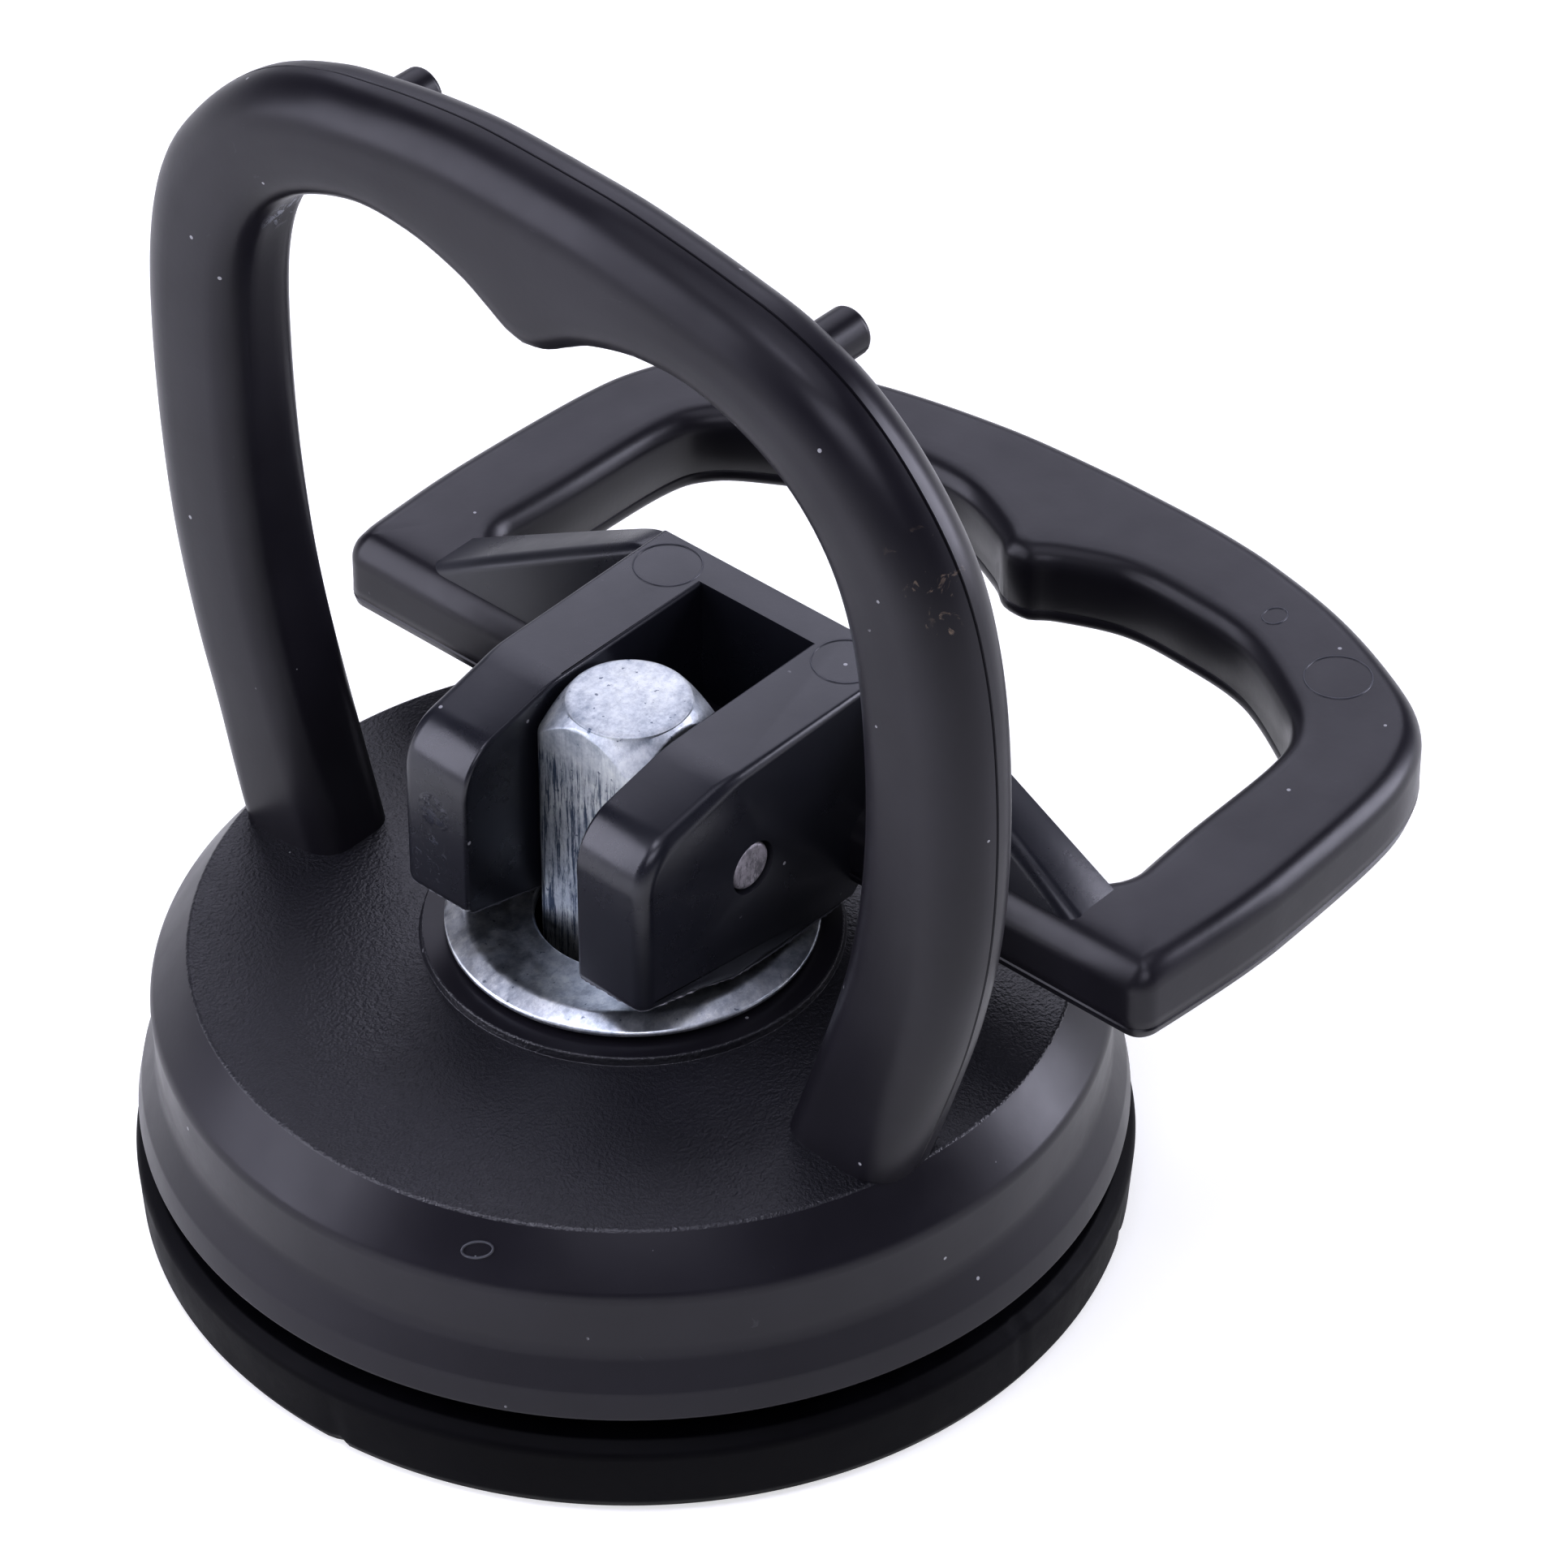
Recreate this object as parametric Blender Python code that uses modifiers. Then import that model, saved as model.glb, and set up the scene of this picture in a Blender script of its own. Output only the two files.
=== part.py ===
"""Vacuum suction cup: a rubber pad under a domed housing, lifted in the middle by a cam lever.

Frame: +Z up, the pad's flat grip face is z = 0 and the stud's axis is the Z axis. The lever points along +X
when released and its pivot pin lies along Y. Every length below is in millimetres and is scaled to metres by MM.
"""

from math import cos, pi, radians, sin, tan

import bmesh
import bpy
from mathutils import Matrix, Vector

for old in list(bpy.data.objects):
    bpy.data.objects.remove(old, do_unlink=True)

MM = 0.001
TURN_STEPS = 64
MERGE = 0.00001
GAP = 0.3

# rubber pad
PAD_R = 27.8
PAD_RIM_Z = 4.8
PAD_NECK_R = 24.6
PAD_TOP_Z = 8.0
PAD_HUB_R = 12.6
PAD_HUB_Z = 10.0

# housing
SKIRT_R = 27.5
SKIRT_Z = 6.45
SHOULDER_Z = PAD_TOP_Z + GAP
DOME_EDGE_R = 24.25
DOME_EDGE_Z = 17.16
BOSS_R = 11.55
BOSS_Z = 17.98
CAVITY_R = 23.6
CAVITY_Z = 14.6
STUD_HOLE_R = 5.6

# carrying arch and its stop pegs
ARCH_X = -4.35
ARCH_LEAN = radians(1.2)
ARCH_DEPTH = 5.8
ARCH_FOOT_Z = 15.4
PEG_Y = 14.4
PEG_Z = 64.3
PEG_R = 1.3
PEG_TIP_X = 0.2

# stud, plate, washer and pin
STUD_HALF = 3.65
STUD_TOP_Z = 33.35
STUD_TOP_R = 3.4
STUD_CONE_R = 5.0
STUD_CONE_Z = 31.3
PLATE_R = 10.0
PLATE_Z = (6.9, 8.4)
NECK_R = 2.6
HEAD_R = 4.6
HEAD_Z = (6.0, 6.6)
WASHER_R = 10.25
WASHER_HOLE_R = 5.3
WASHER_Z = (18.25, 19.15)
PIN_Z = 26.45
PIN_R = 1.4
PIN_LENGTH = 16.9

# lever
CHEEK_Y = (4.0, 8.83)
CHEEK_FRONT_X = -8.65
CHEEK_TOP_Z = 33.2
CHEEK_FLAT_Z = 19.45
LEVER_BACK_X = 12.4
BAR_X = 10.2
LOOP_FRONT_X = 7.8
LOOP_Z = (20.3, 25.3)
WEB_SLOPE = 0.55
WEB_END_Y = 23.6
CHEEK_HOLE_R = 1.6

parts = bpy.data.collections.new("vacuum_suction_cup")
cutters = bpy.data.collections.new("cutters")
for group in (parts, cutters):
    bpy.context.scene.collection.children.link(group)


def material(name, color, roughness, metallic=0.0):
    mat = bpy.data.materials.new(name)
    mat.use_nodes = True
    shader = mat.node_tree.nodes["Principled BSDF"]
    shader.inputs["Base Color"].default_value = (*color, 1.0)
    shader.inputs["Roughness"].default_value = roughness
    shader.inputs["Metallic"].default_value = metallic
    return mat


def link(obj, group=parts, mat=None):
    group.objects.link(obj)
    if group is cutters:
        obj.hide_render = True
        obj.display_type = "WIRE"
    if mat is not None:
        obj.data.materials.append(mat)
    return obj


def turned(name, profile, group=parts, mat=None, closed=False, steps=TURN_STEPS):
    """Solid of revolution: the profile of (radius, z) runs down its outer side at +X."""
    mesh = bpy.data.meshes.new(name)
    edges = [(i, i + 1) for i in range(len(profile) - 1)]
    if closed:
        edges.append((len(profile) - 1, 0))
    mesh.from_pydata([(r * MM, 0.0, z * MM) for r, z in profile], edges, [])
    obj = link(bpy.data.objects.new(name, mesh), group, mat)
    screw = obj.modifiers.new("turn", "SCREW")
    screw.steps = steps
    screw.render_steps = steps
    screw.use_merge_vertices = True
    screw.merge_threshold = MERGE
    screw.use_smooth_shade = True
    return obj


def rounded(corners, steps=5):
    """Polygon whose corners (x, y, radius) are replaced by arcs."""
    outline = []
    count = len(corners)
    for i, (x, y, radius) in enumerate(corners):
        here = Vector((x, y))
        back = (Vector(corners[i - 1][:2]) - here).normalized()
        ahead = (Vector(corners[(i + 1) % count][:2]) - here).normalized()
        if radius <= 0.0:
            outline.append((x, y))
            continue
        half = back.angle(ahead) / 2
        centre = here + (back + ahead).normalized() * (radius / sin(half))
        start = here + back * (radius / tan(half)) - centre
        sweep = start.angle_signed(here + ahead * (radius / tan(half)) - centre)
        for step in range(steps + 1):
            spoke = Matrix.Rotation(-sweep * step / steps, 2) @ start
            outline.append(tuple(centre + spoke))
    return outline


def smooth_path(keys, steps=3):
    """Catmull-Rom curve through the key points, with its ends held straight."""
    path = []
    last = len(keys) - 1
    for i in range(last):
        p0, p1, p2, p3 = (Vector(keys[min(max(k, 0), last)]) for k in range(i - 1, i + 3))
        for step in range(steps):
            t = step / steps
            point = 0.5 * (
                2 * p1 + (p2 - p0) * t + (2 * p0 - 5 * p1 + 4 * p2 - p3) * t**2 + (3 * p1 - p0 - 3 * p2 + p3) * t**3
            )
            path.append(tuple(point))
    path.append(tuple(keys[last]))
    return path


def mirrored(half):
    """Full outline from a half that starts on the mirror line, as (across, along) points."""
    return half + [(-across, along) for across, along in reversed(half) if abs(across) > 1e-6]


def slab(name, outlines, thickness, rotation, location, group=cutters, mat=None):
    """Flat outline of the given thickness, made a welded mesh so that it can be cut and joined."""
    curve = bpy.data.curves.new(name, "CURVE")
    curve.dimensions = "2D"
    curve.fill_mode = "BOTH"
    curve.extrude = thickness / 2 * MM
    for outline in outlines:
        spline = curve.splines.new("POLY")
        spline.points.add(len(outline) - 1)
        for point, (x, y) in zip(spline.points, outline):
            point.co = (x * MM, y * MM, 0.0, 1.0)
        spline.use_cyclic_u = True
    source = bpy.data.objects.new(name + "_curve", curve)
    source.rotation_euler = rotation
    source.location = [value * MM for value in location]
    cutters.objects.link(source)
    graph = bpy.context.evaluated_depsgraph_get()
    graph.update()
    mesh = bpy.data.meshes.new_from_object(source.evaluated_get(graph))
    work = bmesh.new()
    work.from_mesh(mesh)
    bmesh.ops.remove_doubles(work, verts=work.verts, dist=MERGE)
    bmesh.ops.dissolve_limit(work, angle_limit=radians(0.5), verts=work.verts, edges=work.edges)
    bmesh.ops.recalc_face_normals(work, faces=work.faces)
    work.to_mesh(mesh)
    work.free()
    obj = bpy.data.objects.new(name, mesh)
    obj.matrix_world = source.matrix_world
    bpy.data.objects.remove(source, do_unlink=True)
    return link(obj, group, mat)


def round_rim(obj, width, segments, chosen):
    """Round the edges between the slab's flat faces and its wall, where chosen(point in mm) holds."""
    work = bmesh.new()
    work.from_mesh(obj.data)
    rim = [
        edge
        for edge in work.edges
        if edge.calc_face_angle(0.0) > radians(60)
        and abs(edge.verts[0].co.z - edge.verts[1].co.z) < MERGE
        and all(chosen(vert.co / MM) for vert in edge.verts)
    ]
    bmesh.ops.bevel(
        work, geom=rim, offset=width * MM, segments=segments, profile=0.5, affect="EDGES", clamp_overlap=False
    )
    work.to_mesh(obj.data)
    work.free()


def on_path(path):
    """Test for a slab's point lying on a half outline or on its mirror image."""
    return lambda point: any(abs(abs(point.x) - x) + abs(point.y - y) < 0.01 for x, y in path)


def rod(name, radius, start, end, axis, group=cutters, mat=None, sides=40):
    """Cylinder between two points on a line parallel to the axis X, Y or Z."""
    mesh = bpy.data.meshes.new(name)
    work = bmesh.new()
    length = (Vector(end) - Vector(start)).length * MM
    bmesh.ops.create_cone(
        work, cap_ends=True, segments=sides, radius1=radius * MM, radius2=radius * MM, depth=length
    )
    work.to_mesh(mesh)
    work.free()
    obj = link(bpy.data.objects.new(name, mesh), group, mat)
    obj.location = (Vector(start) + Vector(end)) / 2 * MM
    obj.rotation_euler = {"X": (0.0, pi / 2, 0.0), "Y": (pi / 2, 0.0, 0.0), "Z": (0.0, 0.0, 0.0)}[axis]
    return obj


def combine(obj, other, operation):
    boolean = obj.modifiers.new(operation.lower(), "BOOLEAN")
    boolean.solver = "EXACT"
    boolean.operation = operation
    boolean.object = other


def move_origin(obj, point):
    """Put the object's origin at a point given in millimetres, leaving its shape where it is."""
    target = Matrix.Translation(Vector(point) * MM)
    obj.data.transform(target.inverted() @ obj.matrix_world)
    obj.matrix_world = target


plastic = material("black_plastic", (0.018, 0.019, 0.024), 0.42)
rubber = material("black_rubber", (0.014, 0.014, 0.016), 0.55)
zinc = material("zinc_plate", (0.72, 0.76, 0.80), 0.30, 1.0)
steel = material("pin_steel", (0.42, 0.41, 0.40), 0.45, 1.0)

ON_YZ = (pi / 2, 0.0, pi / 2)
ON_XZ = (pi / 2, 0.0, 0.0)
ON_XY = (0.0, 0.0, 0.0)

# The pad: a rim, a neck inside the skirt, and a hub whose undercut pocket holds the insert plate.
POCKET_R = PLATE_R + GAP
turned(
    "rubber_pad",
    [
        (WASHER_HOLE_R, PAD_HUB_Z),
        (PAD_HUB_R - 0.8, PAD_HUB_Z),
        (PAD_HUB_R, PAD_HUB_Z - 0.8),
        (PAD_HUB_R + 1.0, PAD_TOP_Z),
        (PAD_NECK_R - 0.4, PAD_TOP_Z),
        (PAD_NECK_R, PAD_TOP_Z - 0.4),
        (PAD_NECK_R, PAD_RIM_Z),
        (PAD_R - 0.5, PAD_RIM_Z),
        (PAD_R, PAD_RIM_Z - 0.6),
        (PAD_R - 0.3, 0.0),
        (0.0, 0.0),
        (0.0, HEAD_Z[0] - GAP),
        (POCKET_R, HEAD_Z[0] - GAP),
        (POCKET_R, PLATE_Z[1] + GAP),
        (WASHER_HOLE_R, PLATE_Z[1] + GAP),
    ],
    mat=rubber,
    closed=True,
)

# The housing: dome, flank bands and skirt over a hollow, with the stud's hole through the boss.
housing = turned(
    "housing",
    [
        (STUD_HOLE_R, BOSS_Z),
        (BOSS_R - 0.35, BOSS_Z),
        (BOSS_R, BOSS_Z - 0.25),
        (BOSS_R + 0.1, 17.5),
        (DOME_EDGE_R - 5.0, 17.42),
        (DOME_EDGE_R, DOME_EDGE_Z),
        (26.39, 14.25),
        (26.32, 10.27),
        (27.25, 8.1),
        (SKIRT_R, SKIRT_Z),
        (PAD_NECK_R + 0.4, SKIRT_Z),
        (PAD_NECK_R + 0.4, SHOULDER_Z),
        (CAVITY_R, SHOULDER_Z),
        (CAVITY_R, CAVITY_Z - 2.2),
        (CAVITY_R - 2.2, CAVITY_Z),
        (STUD_HOLE_R, CAVITY_Z),
    ],
    mat=plastic,
    closed=True,
)

# The arch: outer and inner halves from the crown down to the foot, as (half width, z).
arch_outer = smooth_path(
    [
        (0.0, 71.0),
        (7.0, 70.6),
        (15.8, 68.6),
        (20.0, 66.6),
        (23.8, 63.2),
        (27.0, 58.8),
        (28.6, 53.0),
        (29.1, 45.0),
        (28.7, 36.0),
        (27.4, 28.5),
        (25.5, 21.8),
        (23.2, ARCH_FOOT_Z),
    ]
)
arch_inner = smooth_path(
    [
        (0.0, 60.0),
        (1.6, 60.5),
        (4.2, 61.8),
        (8.0, 62.7),
        (12.0, 62.5),
        (16.5, 60.4),
        (19.8, 57.8),
        (21.5, 53.6),
        (22.0, 47.0),
        (21.6, 38.5),
        (20.1, 29.8),
        (15.9, ARCH_FOOT_Z),
    ]
)
arch_outline = arch_outer + list(reversed(arch_inner))
arch_outline += [(-y, z) for y, z in arch_inner[1:]]
arch_outline += [(-y, z) for y, z in reversed(arch_outer[1:])]
arch = slab("arch", [arch_outline], ARCH_DEPTH, ON_YZ, (0.0, 0.0, 0.0))


round_rim(arch, 2.5, 3, on_path(arch_outer))
round_rim(arch, 1.0, 1, on_path(arch_inner))
lean = Matrix.Translation(Vector((ARCH_X, 0.0, 17.0)) * MM)
lean @= Matrix.Rotation(-ARCH_LEAN, 4, "Y")
lean @= Matrix.Translation(Vector((0.0, 0.0, -17.0)) * MM)
arch.matrix_world = lean @ arch.matrix_world
combine(housing, arch, "UNION")
for side, label in ((-1, "right"), (1, "left")):
    peg = rod(
        "peg_" + label, PEG_R, (ARCH_X - 1.0, side * PEG_Y, PEG_Z), (PEG_TIP_X, side * PEG_Y, PEG_Z), "X", sides=24
    )
    combine(housing, peg, "UNION")

# The insert plate, held in the rubber, and the washer on the boss.
turned(
    "insert_plate",
    [
        (NECK_R + GAP, PLATE_Z[1]),
        (PLATE_R - 0.3, PLATE_Z[1]),
        (PLATE_R, PLATE_Z[1] - 0.3),
        (PLATE_R, PLATE_Z[0]),
        (NECK_R + GAP, PLATE_Z[0]),
    ],
    mat=zinc,
    closed=True,
    steps=40,
)
turned(
    "washer",
    [
        (WASHER_HOLE_R, WASHER_Z[1] - 0.15),
        (WASHER_HOLE_R + 0.3, WASHER_Z[1]),
        (WASHER_R - 0.35, WASHER_Z[1]),
        (WASHER_R, WASHER_Z[1] - 0.3),
        (WASHER_R, WASHER_Z[0] + 0.2),
        (WASHER_R - 0.2, WASHER_Z[0]),
        (WASHER_HOLE_R, WASHER_Z[0]),
    ],
    mat=zinc,
    closed=True,
)

# The stud: a square bar with a turned top and a riveted foot.
stud_body_z = PLATE_Z[1] + GAP
stud = turned(
    "stud",
    [
        (0.0, STUD_TOP_Z),
        (STUD_TOP_R, STUD_TOP_Z),
        (STUD_CONE_R, STUD_CONE_Z),
        (STUD_CONE_R, stud_body_z),
        (NECK_R, stud_body_z),
        (NECK_R, HEAD_Z[1]),
        (HEAD_R, HEAD_Z[1]),
        (HEAD_R, HEAD_Z[0]),
        (0.0, HEAD_Z[0]),
    ],
    mat=zinc,
    steps=48,
)
square = slab(
    "stud_square",
    [rounded([(x * STUD_HALF, y * STUD_HALF, 0.5) for x, y in ((-1, -1), (1, -1), (1, 1), (-1, 1))], steps=3)],
    STUD_TOP_Z + 1.0 - stud_body_z + 0.1,
    ON_XY,
    (0.0, 0.0, (STUD_TOP_Z + 1.0 + stud_body_z - 0.1) / 2),
)
foot = rod("stud_foot", HEAD_R + 1.0, (0.0, 0.0, HEAD_Z[0] - 1.0), (0.0, 0.0, stud_body_z), "Z", sides=48)
combine(square, foot, "UNION")
combine(stud, square, "INTERSECT")
pin_bore = rod("stud_bore", PIN_R + 0.2, (0.0, -8.0, PIN_Z), (0.0, 8.0, PIN_Z), "Y")
combine(stud, pin_bore, "DIFFERENCE")
pin = rod(
    "pivot_pin", PIN_R, (0.0, -PIN_LENGTH / 2, PIN_Z), (0.0, PIN_LENGTH / 2, PIN_Z), "Y", group=parts, mat=steel
)

# The lever: the finger loop lies flat, with its base bar behind the pivot.
loop_outer = smooth_path(
    [
        (0.0, 41.9),
        (7.9, 41.4),
        (16.4, 39.7),
        (23.1, 37.0),
        (26.5, 34.7),
        (28.2, 31.5),
        (29.1, 27.0),
        (29.6, 18.0),
        (29.2, LOOP_FRONT_X),
    ]
)
loop_inner = smooth_path(
    [
        (0.0, 32.0),
        (2.2, 33.0),
        (6.0, 34.4),
        (10.0, 34.6),
        (14.7, 34.0),
        (18.9, 31.9),
        (21.4, 29.9),
        (22.4, 27.0),
        (22.7, 19.0),
        (23.2, LEVER_BACK_X),
    ]
)
lever = slab(
    "lever",
    [
        [(x, y) for y, x in mirrored(loop_outer)],
        [(x, y) for y, x in mirrored(loop_inner)],
    ],
    LOOP_Z[1] - LOOP_Z[0],
    ON_XY,
    (0.0, 0.0, sum(LOOP_Z) / 2),
    group=parts,
    mat=plastic,
)
round_rim(lever, 1.4, 2, lambda point: True)
cheek_outline = rounded(
    [
        (CHEEK_FRONT_X, 31.6, 3.2),
        (-1.8, CHEEK_TOP_Z, 8.0),
        (LEVER_BACK_X, CHEEK_TOP_Z, 0.3),
        (LEVER_BACK_X, LOOP_Z[0] + 0.2, 0.3),
        (9.4, LOOP_Z[0] + 0.2, 0.0),
        (8.2, CHEEK_FLAT_Z, 0.4),
        (-1.5, CHEEK_FLAT_Z, 1.5),
        (-5.0, 20.45, 0.0),
        (CHEEK_FRONT_X, 21.4, 1.3),
    ]
)
for side, label in ((-1, "right"), (1, "left")):
    cheek = slab(
        "cheek_" + label,
        [cheek_outline],
        CHEEK_Y[1] - CHEEK_Y[0],
        ON_XZ,
        (0.0, side * (CHEEK_Y[0] + CHEEK_Y[1]) / 2, 0.0),
    )
    round_rim(cheek, 0.35, 1, lambda point: point.x < 2.0 and point.y > 22.0)
    combine(lever, cheek, "UNION")
    web = slab(
        "web_" + label,
        [
            [
                (side * (CHEEK_Y[0] + 1.0), LOOP_Z[0] + 1.5),
                (side * (CHEEK_Y[0] + 1.0), CHEEK_TOP_Z - 0.02),
                (side * (CHEEK_Y[1] + 0.1), CHEEK_TOP_Z - 0.02),
                (side * WEB_END_Y, CHEEK_TOP_Z - WEB_SLOPE * (WEB_END_Y - CHEEK_Y[1])),
                (side * WEB_END_Y, LOOP_Z[0] + 1.5),
            ]
        ],
        LEVER_BACK_X - BAR_X,
        ON_YZ,
        ((LEVER_BACK_X + BAR_X) / 2 - 0.01, 0.0, 0.0),
    )
    combine(lever, web, "UNION")
cross_bar = slab(
    "cross_bar",
    [
        rounded(
            [
                (-CHEEK_Y[0] - 1.5, LOOP_Z[0] + 1.0, 0.0),
                (CHEEK_Y[0] + 1.5, LOOP_Z[0] + 1.0, 0.0),
                (CHEEK_Y[0] + 1.5, CHEEK_TOP_Z - 0.04, 0.0),
                (-CHEEK_Y[0] - 1.5, CHEEK_TOP_Z - 0.04, 0.0),
            ]
        )
    ],
    LEVER_BACK_X - BAR_X - 0.1,
    ON_YZ,
    ((LEVER_BACK_X + BAR_X) / 2 - 0.02, 0.0, 0.0),
)
combine(lever, cross_bar, "UNION")
bore = rod("cheek_bore", CHEEK_HOLE_R, (0.0, -12.0, PIN_Z), (0.0, 12.0, PIN_Z), "Y")
combine(lever, bore, "DIFFERENCE")
move_origin(lever, (0.0, 0.0, PIN_Z))

for obj in parts.objects:
    obj.data.shade_smooth()
    obj.data.set_sharp_from_angle(angle=radians(35))
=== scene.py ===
from math import cos, hypot, pi, radians, sin, tan

import bmesh
import bpy
import numpy as np
from mathutils import Matrix, Vector


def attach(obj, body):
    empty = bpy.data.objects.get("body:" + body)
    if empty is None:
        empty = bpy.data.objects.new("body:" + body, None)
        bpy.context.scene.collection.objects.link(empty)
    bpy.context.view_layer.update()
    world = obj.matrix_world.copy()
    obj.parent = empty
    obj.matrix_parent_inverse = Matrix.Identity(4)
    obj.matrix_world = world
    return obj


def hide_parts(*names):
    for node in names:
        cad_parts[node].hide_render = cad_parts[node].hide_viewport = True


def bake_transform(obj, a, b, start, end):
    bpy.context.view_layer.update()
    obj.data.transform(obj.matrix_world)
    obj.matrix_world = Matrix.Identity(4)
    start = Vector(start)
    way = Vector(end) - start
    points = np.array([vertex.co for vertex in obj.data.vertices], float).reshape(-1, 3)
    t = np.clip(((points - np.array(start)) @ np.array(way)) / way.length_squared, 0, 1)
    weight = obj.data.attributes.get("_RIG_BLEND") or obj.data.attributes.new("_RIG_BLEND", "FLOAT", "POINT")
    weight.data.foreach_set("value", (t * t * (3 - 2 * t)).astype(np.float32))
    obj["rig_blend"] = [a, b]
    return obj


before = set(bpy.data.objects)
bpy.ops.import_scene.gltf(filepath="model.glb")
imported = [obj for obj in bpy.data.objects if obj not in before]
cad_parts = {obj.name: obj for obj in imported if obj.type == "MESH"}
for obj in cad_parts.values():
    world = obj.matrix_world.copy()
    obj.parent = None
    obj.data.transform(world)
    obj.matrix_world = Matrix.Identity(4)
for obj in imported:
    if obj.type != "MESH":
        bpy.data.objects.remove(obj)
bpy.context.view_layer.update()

MM = 0.001

# Lengths in millimetres, in the CAD frame.
PIN_Z = 26.45
ARCH_X = -4.35
ARCH_LEAN = radians(1.2)
ARCH_HALF = 2.9
ARCH_FOOT_Z = 15.4
CHEEK_Y = (4.0, 8.83)
CHEEK_TOP_Z = 33.2
LEVER_BACK_X = 12.4
BAR_X = 10.2
LOOP_FRONT_X = 7.8
LOOP_Z = (20.3, 25.3)
STUD_HALF = 3.65
STUD_TOP_Z = 33.35


# ---------------------------------------------------------------- materials

def new_material(name):
    mat = bpy.data.materials.new(name)
    mat.use_nodes = True
    tree = mat.node_tree
    return mat, tree, tree.nodes["Principled BSDF"]


def add(tree, kind, **inputs):
    """New node with its input sockets set by name."""
    node = tree.nodes.new(kind)
    for key, value in inputs.items():
        node.inputs[key.replace("_", " ")].default_value = value
    return node


def coords(tree, scale=(1.0, 1.0, 1.0)):
    """Object coordinates in metres, scaled."""
    source = tree.nodes.new("ShaderNodeTexCoord")
    mapping = tree.nodes.new("ShaderNodeMapping")
    mapping.inputs["Scale"].default_value = scale
    tree.links.new(source.outputs["Object"], mapping.inputs["Vector"])
    return mapping.outputs["Vector"]


def noise(tree, vector, scale, detail=4.0, roughness=0.55, distortion=0.0):
    """Smooth random value between 0 and 1."""
    node = add(
        tree, "ShaderNodeTexNoise", Scale=scale, Detail=detail, Roughness=roughness, Distortion=distortion
    )
    tree.links.new(vector, node.inputs["Vector"])
    return node.outputs[0]


def ramp(tree, value, stops):
    """Colour ramp through stops of (position, colour)."""
    node = tree.nodes.new("ShaderNodeValToRGB")
    elements = node.color_ramp.elements
    while len(elements) < len(stops):
        elements.new(0.5)
    for element, (position, color) in zip(elements, stops):
        element.position = position
        element.color = (*color, 1.0)
    tree.links.new(value, node.inputs[0])
    return node.outputs[0]


def gray(value):
    return (value, value, value)


def mix(tree, factor, a, b):
    """Colour between a and b, each a fixed colour or a socket."""
    node = tree.nodes.new("ShaderNodeMix")
    node.data_type = "RGBA"
    tree.links.new(factor, node.inputs[0])
    for socket, value in ((node.inputs[6], a), (node.inputs[7], b)):
        if isinstance(value, tuple):
            socket.default_value = (*value, 1.0)
        else:
            tree.links.new(value, socket)
    return node.outputs[2]


def math(tree, operation, a, b):
    """Math node on a and b, each a number or a socket."""
    node = tree.nodes.new("ShaderNodeMath")
    node.operation = operation
    for socket, value in zip(node.inputs, (a, b)):
        if isinstance(value, (int, float)):
            socket.default_value = value
        else:
            tree.links.new(value, socket)
    return node.outputs[0]


def bumps(tree, shader, layers):
    """Chain bump layers of (height, strength, depth in metres) into the shader's normal."""
    last = None
    for height, strength, depth in layers:
        node = add(tree, "ShaderNodeBump", Strength=strength, Distance=depth)
        tree.links.new(height, node.inputs["Height"])
        if last is not None:
            tree.links.new(last, node.inputs["Normal"])
        last = node.outputs["Normal"]
    tree.links.new(last, shader.inputs["Normal"])


def spot(tree, vector, centre, radius):
    """Soft round mask about a point given in millimetres."""
    node = tree.nodes.new("ShaderNodeVectorMath")
    node.operation = "DISTANCE"
    tree.links.new(vector, node.inputs[0])
    node.inputs[1].default_value = [v * MM for v in centre]
    share = math(tree, "MULTIPLY", node.outputs["Value"], 1.0 / (radius * MM))
    return ramp(tree, share, [(0.35, gray(1.0)), (1.0, gray(0.0))])


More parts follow.
